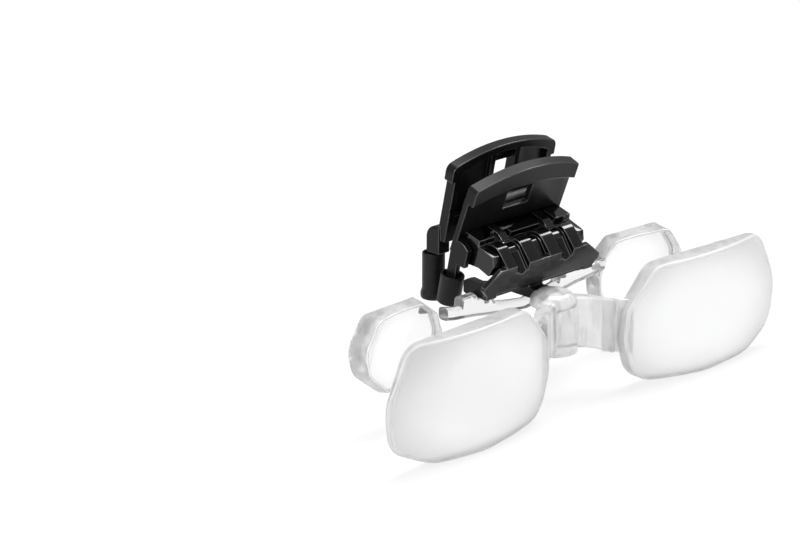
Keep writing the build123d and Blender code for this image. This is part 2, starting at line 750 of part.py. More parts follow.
def front_bridge():
    """The clear front bridge: two swept arms, a leaning hub and a flattened dome on top."""
    depth = -2 * objective_centre_z
    plan = band(bridge_front_points, bridge_back_points, Plane.XY.offset(-depth), depth)
    side = band(bridge_low_points, bridge_top_points, Plane.XZ, -2 * objective_back_y)
    arms = plan & side
    hub = Pos(0, 0, hub_length / 2) * Cylinder(hub_radius, hub_length)
    hub = fillet(hub.edges().group_by(Axis.Z)[0], hub_radius / 4)
    shape = arms + Pos(0, hub_foot_y, hub_foot_z) * Rot(-hub_lean_angle, 0, 0) * hub
    dome = Pos(0, dome_y, dome_top_z - dome_height / 2) * Cylinder(dome_radius, dome_height)
    shape += fillet(dome.edges().group_by(Axis.Z)[-1], dome_round_radius)
    return shape - block(
        -arm_half_width - seat_gap, arm_half_width + seat_gap, arm_tip_y - seat_gap, cradle_back_y,
        arm_low_z - seat_gap, arm_tip_top_z + seat_gap,
    )


def objective():
    """The left eye's front lens with its stub: a flat back and a domed front."""
    outline = lens_outline(
        objective_corner_shares, objective_corner_radii, objective_half_width, objective_half_height,
    )
    blank = extrude(outline, amount=2 * objective_thickness)
    dome = Pos(-objective_decentre, objective_dome_radius - objective_thickness, 0)
    lens = blank & (dome * Sphere(objective_dome_radius))
    lens = toe_in(1) * Pos(0, objective_back_y, objective_centre_z) * lens
    face = make_face(Plane.XY.offset(stub_low_z) * Polyline(*stub_points, close=True))
    stub = extrude(face, amount=stub_top_z - stub_low_z)
    tip = stub.edges().filter_by(Axis.Z).group_by(Axis.Y)[0]
    return lens + fillet(tip, stub_edge_radius)


pieces = {
    "front_jaw": front_jaw(),
    "rear_jaw": rear_jaw(),
    "jaw_pivot_pin": pivot_pin(),
    "jaw_spring": jaw_spring(),
    "cross_rod": cross_rod(),
    "hinge_housing": housing(),
    "catch_tongue_right": tongue(-tongue_place),
    "catch_tongue_left": tongue(tongue_place),
    "flip_pin": flip_pin(),
    "carrier": carrier(),
    "cradle": cradle(),
    "cradle_screws": screws(0),
    "front_sleeve_right": front_sleeve(-1),
    "front_sleeve_left": front_sleeve(1),
    "rear_sleeve_right": rear_sleeve(-1),
    "rear_sleeve_left": rear_sleeve(1),
    "rear_bridge": rear_bridge(),
    "front_bridge": front_bridge(),
    "ocular_left": ocular(),
    "ocular_right": mirrored(ocular()),
    "objective_left": objective(),
    "objective_right": mirrored(objective()),
}

os.makedirs("parts", exist_ok=True)
for name, shape in pieces.items():
    wanted = 2 if name == "cradle_screws" else 1
    export_step(checked(shape, wanted), f"parts/{name}.step")
    print(name, round(shape.volume, 1), "mm3")
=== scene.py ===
# %% [markdown]
# # A clip-on loupe with flip-up optics
#
# The real object is a small spring clip of black plastic that carries two pairs of clear lenses and flips
# them up out of the way. Its exact shapes and its hinges come from a CAD model, which is loaded here and
# never moved. This lesson gives that model its looks: rounded moulded edges, soft sleeves, polished clear
# plastic, a pale floor, soft light and a camera.

# %% Load the CAD model
import math

import bmesh
import bpy
import numpy as np
from mathutils import Matrix, Vector


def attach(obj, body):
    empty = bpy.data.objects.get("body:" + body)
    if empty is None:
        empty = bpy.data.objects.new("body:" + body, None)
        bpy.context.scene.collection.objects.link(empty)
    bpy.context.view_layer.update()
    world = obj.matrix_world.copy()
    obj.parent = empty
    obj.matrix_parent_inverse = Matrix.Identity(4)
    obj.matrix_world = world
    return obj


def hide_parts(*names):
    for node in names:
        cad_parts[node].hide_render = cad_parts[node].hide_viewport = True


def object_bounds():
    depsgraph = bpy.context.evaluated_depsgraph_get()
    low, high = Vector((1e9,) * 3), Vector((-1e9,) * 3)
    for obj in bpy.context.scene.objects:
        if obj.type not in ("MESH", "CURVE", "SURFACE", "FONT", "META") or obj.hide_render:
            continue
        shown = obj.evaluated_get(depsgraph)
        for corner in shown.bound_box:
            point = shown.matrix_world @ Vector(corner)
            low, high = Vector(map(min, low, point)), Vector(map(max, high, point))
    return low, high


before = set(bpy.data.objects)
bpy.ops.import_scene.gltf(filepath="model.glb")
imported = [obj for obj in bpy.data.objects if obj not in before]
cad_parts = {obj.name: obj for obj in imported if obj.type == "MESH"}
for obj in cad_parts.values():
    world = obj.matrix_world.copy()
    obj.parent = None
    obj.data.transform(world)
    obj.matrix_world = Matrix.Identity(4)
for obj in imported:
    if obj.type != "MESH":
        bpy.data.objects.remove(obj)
cad_box = [list(corner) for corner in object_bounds()]
MM = 0.001
print("CAD box in mm:", [[round(value / MM, 1) for value in corner] for corner in cad_box])

# %% [markdown]
# ## Camera
#
# The photograph was taken from the front right and a little above, with a long lens, so parallel edges
# hardly converge. The camera could be placed with a Track To constraint, but a matrix built from three unit
# vectors is exact and has nothing to go wrong: right and up lie in the picture, and back points at the
# viewer.

# %% Camera
azimuth, elevation = math.radians(-44.0), math.radians(18.8)
distance_mm = 700.0
focal_px = 3660.0
picture_width_px = 800
sensor_width_mm = 36.0
farthest_m = 50.0
aim_right_mm, aim_up_mm = 14.475, 12.106
aim_offset_mm = Vector((0.0, -3.7, -5.0))

right = Vector((math.cos(azimuth), math.sin(azimuth), 0.0))
back = Vector((
    math.sin(azimuth) * math.cos(elevation), -math.cos(azimuth) * math.cos(elevation), math.sin(elevation),
))
up = back.cross(right)
place = (back * distance_mm - right * aim_right_mm - up * aim_up_mm - aim_offset_mm) * MM

camera_data = bpy.data.cameras.new("camera")
camera_data.sensor_fit = "HORIZONTAL"
camera_data.sensor_width = sensor_width_mm
camera_data.lens = focal_px / picture_width_px * sensor_width_mm
camera_data.clip_end = farthest_m
camera = bpy.data.objects.new("camera", camera_data)
turn = Matrix((right, up, back)).transposed().to_4x4()
camera.matrix_world = Matrix.Translation(place) @ turn
bpy.context.collection.objects.link(camera)
bpy.context.scene.camera = camera
bpy.context.scene.view_settings.view_transform = "Standard"
print("camera at", [round(value / MM, 1) for value in place], "mm, lens", round(camera_data.lens, 1), "mm")

# %% [markdown]
# ## Shader sums
#
# A material is a graph of nodes. The graph could be drawn by hand in the shader editor, or linked socket by
# socket, but a sum of three terms is then already a tangle of links. This small class wraps one output
# socket, so that `1 - mask * 0.4` adds its own Math nodes.


# %% Sums of sockets
class Value:
    """A socket that can be used in sums; every operator adds one Math node."""

    def __init__(self, shader, socket):
        """Keeps the socket and the shader that its Math nodes go into."""
        self.shader, self.socket = shader, socket

    def math(self, operation, *inputs):
        """One Math node on values and numbers."""
        return self.shader.node("ShaderNodeMath", {"operation": operation}, dict(enumerate(inputs)))

    def __add__(self, other):
        return self.math("ADD", self, other)

    def __radd__(self, other):
        return self.math("ADD", other, self)

    def __sub__(self, other):
        return self.math("SUBTRACT", self, other)

    def __rsub__(self, other):
        return self.math("SUBTRACT", other, self)

    def __mul__(self, other):
        return self.math("MULTIPLY", self, other)

    def __rmul__(self, other):
        return self.math("MULTIPLY", other, self)

    def __truediv__(self, other):
        return self.math("DIVIDE", self, other)

    def __rtruediv__(self, other):
        return self.math("DIVIDE", other, self)

    def step(self, low, high):
        """0 below low, 1 above high, and an S-shaped curve between."""
        return self.shader.node("ShaderNodeMapRange", {"interpolation_type": "SMOOTHSTEP"}, {
            "Value": self, "From Min": low, "From Max": high,
        })


print("sums of sockets: +, -, *, / and step")

# %% [markdown]
# ## One material
#
# Every node that isn't a sum comes from one method, `node`, which takes the node's type, its settings and
# its inputs. Noise and places are read in object coordinates, so no piece has to be unwrapped.


# %% A material and its nodes
class Finish:
    """A material, or the world, whose nodes come from `node`."""

    def __init__(self, owner):
        """Takes over the owner's node tree and empties it."""
        owner.use_nodes = True
        self.owner, self.tree = owner, owner.node_tree
        self.tree.nodes.clear()

    def node(self, kind, settings=None, inputs=None, output=0):
        """Adds a node, sets it up, fills its sockets with values or links, and returns one output.

        The setting "stops" gives a ramp its two stops, each with a place and a colour.
        """
        made = self.tree.nodes.new(kind)
        for key, value in (settings or {}).items():
            if key == "stops":
                for stop, (at, colour) in zip(made.color_ramp.elements, value):
                    stop.position, stop.color = at, colour
            else:
                setattr(made, key, value)
        for key, value in (inputs or {}).items():
            if isinstance(value, Value):
                self.tree.links.new(value.socket, made.inputs[key])
            else:
                made.inputs[key].default_value = value
        return Value(self, made.outputs[output])

    def noise(self, scale, detail=2.0, roughness=0.5):
        """Cloudy values about 0.5 on the object's own coordinates; scale is in lumps per metre."""
        where = self.node("ShaderNodeTexCoord", output="Object")
        return self.node("ShaderNodeTexNoise", {}, {
            "Vector": where, "Scale": scale, "Detail": detail, "Roughness": roughness,
        }, "Fac")

    def upright_noise(self, scale, squeeze):
        """Noise drawn out along Z: there the coordinates are multiplied by squeeze, below 1."""
        where = self.node("ShaderNodeVectorMath", {"operation": "MULTIPLY"}, {
            0: self.node("ShaderNodeTexCoord", output="Object"), 1: (1.0, 1.0, squeeze),
        })
        return self.node("ShaderNodeTexNoise", {}, {"Vector": where, "Scale": scale, "Detail": 2.0}, "Fac")

    def along(self, axis):
        """One of the object coordinates: X, Y or Z."""
        where = self.node("ShaderNodeTexCoord", output="Object")
        return self.node("ShaderNodeSeparateXYZ", {}, {0: where}, axis)

    def blend(self, factor, first, second):
        """A colour between two colours."""
        return self.node("ShaderNodeMix", {"data_type": "RGBA"}, {0: factor, 6: first, 7: second}, 2)

    def bump(self, height, strength, distance_mm):
        """A bent normal from a height."""
        return self.node("ShaderNodeBump", {}, {
            "Height": height, "Strength": strength, "Distance": distance_mm * MM,
        })

    def plain(self, **inputs):
        """A Principled shader; the inputs are named as its sockets, with _ for each space."""
        return self.node("ShaderNodeBsdfPrincipled", {}, {
            key.replace("_", " "): value for key, value in inputs.items()
        })

    def finish(self, surface, kind="ShaderNodeOutputMaterial"):
        """Links the shader to an output node and returns the material or the world."""
        output = self.tree.nodes.new(kind)
        self.tree.links.new(surface.socket, output.inputs["Surface"])
        return self.owner


def grey(level, blue=1.0):
    """A grey, or a slightly blue one, as the four numbers of a colour socket."""
    return (level, level, level * blue, 1.0)


print("shader tools ready")

# %% [markdown]
# ## Black moulded plastic
#
# The clip is moulded in black plastic. Seen close, such a face isn't black all over: the mould's fine grain
# breaks up the shine, the plastic's flow leaves faint cloudy bands, and a little dust sits on it. An image
# could hold all this, but noise on Object coordinates needs no unwrapping, and its grain has the same size on
# every piece. The rounded edges are polished by handling, so they get a glossier finish of their own whose
# lighter colour is a painted highlight: together these make the thin bright lines of the real clip. The
# levers are satin, and the hinge's pieces are smoother.

# %% Satin and smooth black plastic
CLOUDS, DUST_PATCHES, DUST, GRAIN = 260.0, 150.0, 2600.0, 4600.0  # lumps per metre
SPECK_EDGES, PATCH_EDGES = (0.60, 0.80), (0.35, 0.75)  # noise values between which dust and patches set in
GRAIN_MM = 0.08
CLOUD_LIFT = 2.4  # how much paler the clouds are than the rest
CLOUD_GLOSS, DUST_GLOSS = 0.14, 0.15  # how far clouds and dust change the roughness
BLACK_BLUE, CLOUD_BLUE = 1.08, 1.06
DUST_COLOUR = grey(0.10, 1.04)


def black_plastic(name, shade, gloss, grain, dusty, shine):
    """Dark base, grain in the bump, clouds in the roughness, and a thin dust that lightens the colour."""
    paint = Finish(bpy.data.materials.new(name))
    clouds = paint.noise(CLOUDS)
    specks = paint.noise(DUST, detail=4.0, roughness=0.7).step(*SPECK_EDGES)
    dust = specks * paint.noise(DUST_PATCHES).step(*PATCH_EDGES)
    body = paint.blend(clouds, grey(shade, BLACK_BLUE), grey(shade * CLOUD_LIFT, CLOUD_BLUE))
    return paint.finish(paint.plain(
        Base_Color=paint.blend(dust * dusty, body, DUST_COLOUR),
        Roughness=gloss + (clouds - 0.5) * CLOUD_GLOSS + dust * DUST_GLOSS,
        Normal=paint.bump(paint.noise(GRAIN, roughness=0.6), grain, GRAIN_MM),
        Specular_IOR_Level=shine,
    ))


plastic = black_plastic("satin_black_plastic", 0.0035, gloss=0.34, grain=0.16, dusty=0.16, shine=0.17)
barrel_plastic = black_plastic("smooth_black_plastic", 0.0014, gloss=0.13, grain=0.04, dusty=0.10, shine=0.42)
# Both edge finishes are glossier than their faces, and their lighter colour is a painted highlight for the
# thin bright edge lines.
painted_highlight_polished_edge = black_plastic("polished_black_edge_painted_highlight", 0.024, gloss=0.14, grain=0.02, dusty=0.05, shine=1.0)
painted_highlight_satin_edge = black_plastic("satin_black_edge_painted_highlight", 0.014, gloss=0.22, grain=0.03, dusty=0.05, shine=0.6)
print("materials:", plastic.name, barrel_plastic.name, painted_highlight_polished_edge.name, painted_highlight_satin_edge.name)

# %% [markdown]
# ## Soft sleeves and steel
#
# The sleeves are smooth soft black tubes with a slightly greyer skin than the plastic. The steel pieces are
# blackened, plain or satin, with brighter worn marks. An image of scratched metal would do as well, but
# noise in the roughness is enough at this size and needs no file.

# %% Soft black sleeve and steel
SMEARS, PORES, WEAR, TURNING_MARKS = 320.0, 7000.0, 900.0, 5200.0  # lumps per metre
PORES_MM, PORES_STRENGTH = 0.06, 0.12
SKIN, SMEARED_SKIN = grey(0.004, 1.05), grey(0.014, 1.05)
SKIN_ROUGHNESS, SMEAR_GLOSS, SKIN_SHINE = 0.28, 0.20, 0.20
WEAR_EDGES, WEAR_LIFT = (0.55, 0.75), 1.5
MARK_GLOSS, METAL_SHARE = 0.18, 0.85


def soft_black(name):
    """Satin grey-black with fine pores and soft smears."""
    paint = Finish(bpy.data.materials.new(name))
    smears = paint.noise(SMEARS, detail=3.0)
    return paint.finish(paint.plain(
        Base_Color=paint.blend(smears, SKIN, SMEARED_SKIN),
        Roughness=SKIN_ROUGHNESS + smears * SMEAR_GLOSS,
        Normal=paint.bump(paint.noise(PORES, roughness=0.7), PORES_STRENGTH, PORES_MM),
        Specular_IOR_Level=SKIN_SHINE,
    ))


def steel(name, shade, dullness):
    """Metal whose worn spots are paler and whose fine turning marks change the roughness."""
    paint = Finish(bpy.data.materials.new(name))
    wear = paint.noise(WEAR, detail=3.0).step(*WEAR_EDGES)
    return paint.finish(paint.plain(
        Base_Color=paint.blend(wear, grey(shade), grey(shade * WEAR_LIFT)),
        Roughness=dullness + paint.noise(TURNING_MARKS, detail=3.0) * MARK_GLOSS,
        Metallic=METAL_SHARE,
    ))


sleeve_skin = soft_black("soft_black_sleeve")
dark_steel = steel("blackened_steel", shade=0.05, dullness=0.28)
bright_steel = steel("plain_steel", shade=0.42, dullness=0.28)
rod_steel = steel("satin_steel", shade=0.30, dullness=0.42)
print("materials:", sleeve_skin.name, dark_steel.name, bright_steel.name, rod_steel.name)

# %% [markdown]
# ## Clear plastic
#
# The lenses and bridges are clear plastic. It could be faked with an alpha, but then the thick edges would
# look like empty boxes; real refraction gives the bright rims and grey streaks by itself. What makes the
# real pieces look milky is light that scatters inside them. A volume could scatter it truly, but it is slow
# and noisy, so a white surface scatter is mixed in: little in the middle of a lens, more towards its edge,
# and most on the ground side walls and in the thick bridge.
#
# A finish stays wholly above or wholly below a roughness of 0.27, and a scatter share of 0.25. A piece that
# crosses either gets dark specks or a thin bright line from the render's noise filter.

# %% Clear and milky plastic
POLISH_MARKS, RIPPLES, UPRIGHT_STREAKS = 420.0, 70.0, 520.0  # lumps per metre
RIPPLE_MM = 0.2
STREAK_SQUEEZE, STREAK_EDGES, STREAK_SHADE = 0.16, (0.46, 0.62), 0.30
HAZE_SPREAD, MILK_SPREAD = 0.30, 0.35  # how far the polish marks change the haze and the milk
PLASTIC_INDEX = 1.49
SCATTER_ROUGHNESS = 0.30
PLASTIC_GREY, CLEAREST_GREY = grey(0.975), grey(0.995)
LENS_EDGE_STARTS, LENS_EDGE_FULL = 0.15, 1.3  # in r * r, from the clear middle to the milky edge
# The lens's glow is painted light in its middle; the lens is no lamp.
LENS_HAZE, LENS_RIPPLE, LENS_PAINTED_GLOW = 0.02, 0.02, 0.14
# The scatter's grey darkens from the middle to the edge: a painted shade at the edge.
LENS_MIDDLE_MILK, LENS_EDGE_MILK_PAINTED_SHADE = grey(0.96), grey(0.78)


def clear_plastic(name, milk, haze, white, ripple=0.03, glow=0.0, streaky=0.0):
    """Refracting plastic mixed with some white scatter; the polish is cloudy.

    The scatter can glow a little, a painted glow for the light that a thick clear piece leads in from its
    other faces.
    Upright streaks can darken its scatter.
    """
    paint = Finish(bpy.data.materials.new(name))
    marks = paint.noise(POLISH_MARKS, detail=3.0)
    streaks = paint.upright_noise(UPRIGHT_STREAKS, STREAK_SQUEEZE).step(*STREAK_EDGES) * streaky
    glass = paint.plain(
        Base_Color=paint.blend(marks, PLASTIC_GREY, CLEAREST_GREY),
        Roughness=haze + (marks - 0.5) * (haze * HAZE_SPREAD),
        Normal=paint.bump(paint.noise(RIPPLES, detail=1.0), ripple, RIPPLE_MM),
        IOR=PLASTIC_INDEX,
        Transmission_Weight=1.0,
    )
    # The scatter's glow is painted light.
    scatter = paint.plain(
        Base_Color=paint.blend(streaks, grey(white), grey(white * STREAK_SHADE)), IOR=PLASTIC_INDEX,
        Roughness=SCATTER_ROUGHNESS, Emission_Color=grey(1.0), Emission_Strength=glow,
    )
    cloudy = milk + (marks - 0.5) * (milk * MILK_SPREAD)
    return paint.finish(paint.node("ShaderNodeMixShader", {}, {0: cloudy, 1: glass, 2: scatter}))


def lens_plastic(name, centre_mm, half_mm, milk_middle, milk_edge):
    """Clear plastic whose scatter grows with r * r, r being 1 on an ellipse about the lens's middle.

    The scatter glows in the middle, a painted glow for the bright ground that the real lens lets through.
    """
    paint = Finish(bpy.data.materials.new(name))
    marks = paint.noise(POLISH_MARKS, detail=3.0)
    x = (paint.along("X") - centre_mm[0] * MM) / (half_mm[0] * MM)
    z = (paint.along("Z") - centre_mm[1] * MM) / (half_mm[1] * MM)
    far = (x * x + z * z).step(LENS_EDGE_STARTS, LENS_EDGE_FULL)
    glass = paint.plain(
        Base_Color=CLEAREST_GREY, Roughness=marks * LENS_HAZE, IOR=PLASTIC_INDEX, Transmission_Weight=1.0,
        Normal=paint.bump(paint.noise(RIPPLES, detail=1.0), LENS_RIPPLE, RIPPLE_MM),
    )
    # This scatter glows in the middle, which is painted light, and greys towards the edge, which is painted
    # shade.
    scatter = paint.plain(
        Base_Color=paint.blend(far, LENS_MIDDLE_MILK, LENS_EDGE_MILK_PAINTED_SHADE), IOR=PLASTIC_INDEX,
        Roughness=SCATTER_ROUGHNESS, Emission_Color=paint.blend(far, grey(1.0), grey(0.0)),
        Emission_Strength=LENS_PAINTED_GLOW,
    )
    milk = milk_middle + far * (milk_edge - milk_middle)
    return paint.finish(paint.node("ShaderNodeMixShader", {}, {0: milk, 1: glass, 2: scatter}))


wall = clear_plastic("ground_clear_edge", milk=0.48, haze=0.34, white=0.70, streaky=0.35)
rim = clear_plastic("rounded_clear_edge", milk=0.62, haze=0.34, white=0.84)
rear_wall = clear_plastic("moulded_clear_edge", milk=0.40, haze=0.16, white=0.72, streaky=0.35)
# The bridge's faint glow is painted light.
clear_bridge = clear_plastic(
    "milky_bridge_plastic", milk=0.46, haze=0.12, white=0.84, ripple=0.0, glow=0.05, streaky=0.40,
)
clear_rail = clear_plastic("clear_rail_plastic", milk=0.12, haze=0.05, white=0.80, ripple=0.08)
print("materials:", wall.name, rim.name, rear_wall.name, clear_bridge.name, clear_rail.name)

# %% [markdown]
# ## Rings into a mesh
#
# Lenses, sleeves and bridges are all stacks of closed rings, so one function turns a stack into a mesh.
# Each could be modelled by hand from a cylinder, but arrays keep the exact sizes. The rings' points come as
# one array, and the faces are worked out from their numbers, with no loop. The two ends are closed with a
# fan. If the signed volume comes out negative, the faces are turned round.

# %% Put rings into a mesh
CREASE_DEGREES = 50  # on the bars and tubes, edges sharper than this keep a crease


def ring_piece(name, rings_mm, materials, body, sharp=None, bands=()):
    """A closed mesh from rings_mm[ring, point, xyz]; each quad joins two rings and two points.

    Each band (first ring, last ring, number) gives the faces between two rings another of the materials.
    Without a body the piece stays loose, to be joined to another.
    """
    rings = np.asarray(rings_mm, dtype=float) * MM
    count, around = rings.shape[:2]
    points = np.concatenate([rings.reshape(-1, 3), rings[:1].mean(1), rings[-1:].mean(1)])
    i, j = np.arange(count - 1)[:, None], np.arange(around)[None, :]
    after = (j + 1) % around
    quads = np.stack([
        i * around + j, (i + 1) * around + j, (i + 1) * around + after, i * around + after,
    ], -1).reshape(-1, 4)
    j, after = j[0], after[0]
    last = (count - 1) * around
    first_fan = np.stack([np.full(around, count * around), j, after], -1)
    last_fan = np.stack([np.full(around, count * around + 1), last + after, last + j], -1)
    corners = points[quads]
    volume = np.einsum("ij,ij->i", corners[:, 0], np.cross(corners[:, 1], corners[:, 2])).sum()
    volume += np.einsum("ij,ij->i", corners[:, 0], np.cross(corners[:, 2], corners[:, 3])).sum()
    if volume < 0:
        quads, first_fan, last_fan = quads[:, ::-1], first_fan[:, ::-1], last_fan[:, ::-1]
    mesh = bpy.data.meshes.new(name)
    mesh.from_pydata(points.tolist(), [], quads.tolist() + first_fan.tolist() + last_fan.tolist())
    mesh.polygons.foreach_set("use_smooth", np.ones(len(mesh.polygons), dtype=bool))
    if sharp is not None:
        mesh.set_sharp_from_angle(angle=math.radians(sharp))
    for material in materials:
        mesh.materials.append(material)
    number = np.zeros(len(mesh.polygons), dtype=np.int32)
    for first, end, choice in bands:
        number[first * around:end * around] = choice
    mesh.polygons.foreach_set("material_index", number)
    piece = bpy.data.objects.new(name, mesh)
    bpy.context.collection.objects.link(piece)
    if body:
        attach(piece, body)
    print(name, len(mesh.polygons), "faces")
    return piece


print("rings can be made into a mesh")

# %% [markdown]
# ## Outlines with round corners
#
# Both kinds of lens are cut to a shield shape. A curve object with bevelled corners could give it, but a
# few corners with a radius each say it exactly, and their points can be spaced evenly along the outline,
# which keeps the lens's faces alike.


# %% Outlines
ARC_POINTS = 25


def rounded_outline(corners, radii, count):
    """A closed outline of straight runs and true arcs, at count points spaced evenly along it.

    Each corner's arc is a rational quadratic curve between its two tangent points, whose middle weight is the
    sine of half the corner's angle; that curve is exactly round.
    """
    corners, radii = np.asarray(corners, float), np.asarray(radii, float)
    to_last = np.roll(corners, 1, 0) - corners
    to_next = np.roll(corners, -1, 0) - corners
    to_last /= np.linalg.norm(to_last, axis=1, keepdims=True)
    to_next /= np.linalg.norm(to_next, axis=1, keepdims=True)
    half = np.arccos(np.clip((to_last * to_next).sum(1), -1, 1)) / 2
    reach = (radii / np.tan(half))[:, None]
    start, end = corners + to_last * reach, corners + to_next * reach
    t = np.linspace(0, 1, ARC_POINTS)[None, :, None]
    weight = np.sin(half)[:, None, None]
    share = (1 - t) ** 2, 2 * t * (1 - t) * weight, t ** 2
    arcs = (share[0] * start[:, None] + share[1] * corners[:, None] + share[2] * end[:, None]) / sum(share)
    path = arcs.reshape(-1, 2)
    path = np.concatenate([path, path[:1]])
    length = np.concatenate([[0], np.cumsum(np.linalg.norm(np.diff(path, axis=0), axis=1))])
    at = np.linspace(0, length[-1], count, endpoint=False)
    return np.stack([np.interp(at, length, path[:, 0]), np.interp(at, length, path[:, 1])], -1)


def inward(outline):
    """The unit vectors across the outline, pointing in."""
    along = np.roll(outline, -1, 0) - np.roll(outline, 1, 0)
    across = np.stack([-along[:, 1], along[:, 0]], -1)
    across /= np.linalg.norm(across, axis=1, keepdims=True)
    middle = outline.mean(0)
    flip = np.sign(((middle - outline) * across).sum())
    return across * flip


EYE_MM = 31.5
TOE_IN = math.radians(3.4)


def eye_place(points, side):
    """Points of a lens at the left (+1) or right (-1) eye: turned by its toe-in, shifted and mirrored."""
    cosine, sine = math.cos(-TOE_IN), math.sin(-TOE_IN)
    turn = np.array([[cosine, -sine, 0], [sine, cosine, 0], [0, 0, 1]])
    placed = points @ turn.T + np.array([EYE_MM, 0, 0])
    return placed * np.array([side, 1, 1])


BACK_SHARES = np.linspace(0.04, 0.97, 16)  # the outline shrunk, from the middle of the back to its edge
FACE_SHARES = np.linspace(0.985, 0.03, 26)  # and from the edge of the face to its middle
QUARTER = np.radians(np.linspace(0, 90, 4))


def lens_rings(back_outline, front_outline, face_depth, edge_mm, y_mm, z_mm):
    """Rings of a lens, from the middle of its flat back to the middle of its front.

    Depth runs forward, from zero on the back to face_depth(x, z) on the front. Quarter arcs of radius edge_mm
    round both edges, and the side wall between them is the straight blend of the two outlines.
    """
    rings = []

    def add(flat, depth):
        """One ring: an outline at a depth."""
        rings.append(np.column_stack([flat[:, 0], np.full(len(flat), y_mm) - depth, z_mm + flat[:, 1]]))

    back_in, front_in = inward(back_outline), inward(front_outline)
    for share in BACK_SHARES:
        add((back_outline + back_in * edge_mm) * share, 0.0)
    for angle in QUARTER:
        flat = back_outline + back_in * edge_mm * (1 - math.sin(angle))
        add(flat, edge_mm * (1 - math.cos(angle)))
    for angle in QUARTER:
        flat = front_outline + front_in * edge_mm * (1 - math.cos(angle))
        add(flat, face_depth(*flat.T) - edge_mm * (1 - math.sin(angle)))
    for share in FACE_SHARES:
        flat = (front_outline + front_in * edge_mm) * share
        add(flat, face_depth(*flat.T))
    return np.stack(rings)


ROUND_STARTS = len(BACK_SHARES) - 1
WALL_STARTS = ROUND_STARTS + len(QUARTER)
LENS_BANDS = (  # rounded edge, side wall, rounded edge: first ring, last ring, number of the material
    (ROUND_STARTS, WALL_STARTS, 2), (WALL_STARTS, WALL_STARTS + 1, 1),
    (WALL_STARTS + 1, WALL_STARTS + 1 + len(QUARTER), 2),
)
print("lens centres", 2 * EYE_MM, "mm apart")

# %% [markdown]
# ## Front lenses
#
# Each front lens has a flat back and a domed front. A Boolean of a ball and a flat block would give the
# same form, but its long thin faces bend the light in jumps. So rings run from the middle of the back,
# round the edge and up the dome: every ring is the outline, drawn in a little, at a depth that the lens's
# section gives. The rounded edge is milky and catches the light all the way round.

# %% Front lenses
FRONT_HALF = np.array([20.0, 12.0])
FRONT_CORNERS = np.array([
    (0.885, 1.04), (1.149, 0.125), (1.09, -0.583), (0.65, -0.908), (0.0, -0.95),
    (-0.84, -0.842), (-0.99, -0.125), (-0.945, 0.417), (-0.615, 1.033),
]) * FRONT_HALF
FRONT_RADII = (5.0, 9.0, 6.0, 12.0, 30.0, 6.0, 8.0, 6.0, 5.0)
FRONT_DOME, FRONT_THICK, FRONT_SHIFT = 60.0, 5.68, 1.0
FRONT_BACK_Y, FRONT_Z = -24.7, -16.0
FRONT_EDGE, FRONT_POINTS = 0.35, 220
CLEAREST_SHIFT = 1.5  # the clearest spot lies this far inwards of the eye


def dome_depth(x, z):
    """Thickness of the front lens: a ball of the dome's radius over a flat back."""
    return FRONT_THICK - FRONT_DOME + np.sqrt(FRONT_DOME ** 2 - (x + FRONT_SHIFT) ** 2 - z ** 2)


front_outline = rounded_outline(FRONT_CORNERS, FRONT_RADII, FRONT_POINTS)
front_rings = lens_rings(front_outline, front_outline, dome_depth, FRONT_EDGE, FRONT_BACK_Y, FRONT_Z)
for side, eye in ((1, "left"), (-1, "right")):
    clearest = (side * (EYE_MM - CLEAREST_SHIFT), FRONT_Z)
    body = lens_plastic(f"front_lens_plastic_{eye}", clearest, FRONT_HALF, milk_middle=0.32, milk_edge=0.50)
    lens = ring_piece(
        f"front_lens_{eye}", eye_place(front_rings, side), (body, wall, rim), "optics", bands=LENS_BANDS,
    )
edge = dome_depth(*front_outline.T)
print("front lens edge from", round(edge.min(), 2), "to", round(edge.max(), 2), "mm thick")

# %% [markdown]
# ## Rear lenses
#
# The rear lenses are smaller, thick at the edge and hollow in front, which makes each pair a small
# telescope. A ball could be cut out of a block, but the rings of the front lenses serve here too, with a
# hollow in place of the dome and a tapered edge, and keep the faces of the hollow even.

# %% Rear lenses
REAR_HALF = np.array([11.5, 8.35])
REAR_CORNERS = np.array([
    (-0.435, 1.0), (0.783, 1.0), (1.113, 0.311), (1.009, -0.311), (0.348, -1.0),
    (-0.391, -1.0), (-0.835, -0.359), (-0.87, 0.18), (-0.739, 0.665),
]) * REAR_HALF
REAR_RADII = (0.8, 2.5, 4.0, 5.0, 4.0, 4.0, 4.0, 3.0, 1.5)
REAR_EDGE, REAR_HOLLOW = 4.6, 27.0
REAR_BACK_Y, REAR_Z = -6.0, -12.85
REAR_TAPER_DEGREES = 6.0
REAR_ROUND, REAR_POINTS = 0.3, 180


def hollow_depth(x, z):
    """Thickness of the rear lens: its edge less a ball of the hollow's radius."""
    deepest = REAR_HOLLOW - math.sqrt(REAR_HOLLOW ** 2 - REAR_HALF[0] ** 2)
    bottom = REAR_HOLLOW - np.sqrt(np.maximum(REAR_HOLLOW ** 2 - x ** 2 - z ** 2, 0))
    return REAR_EDGE - np.maximum(deepest - bottom, 0)


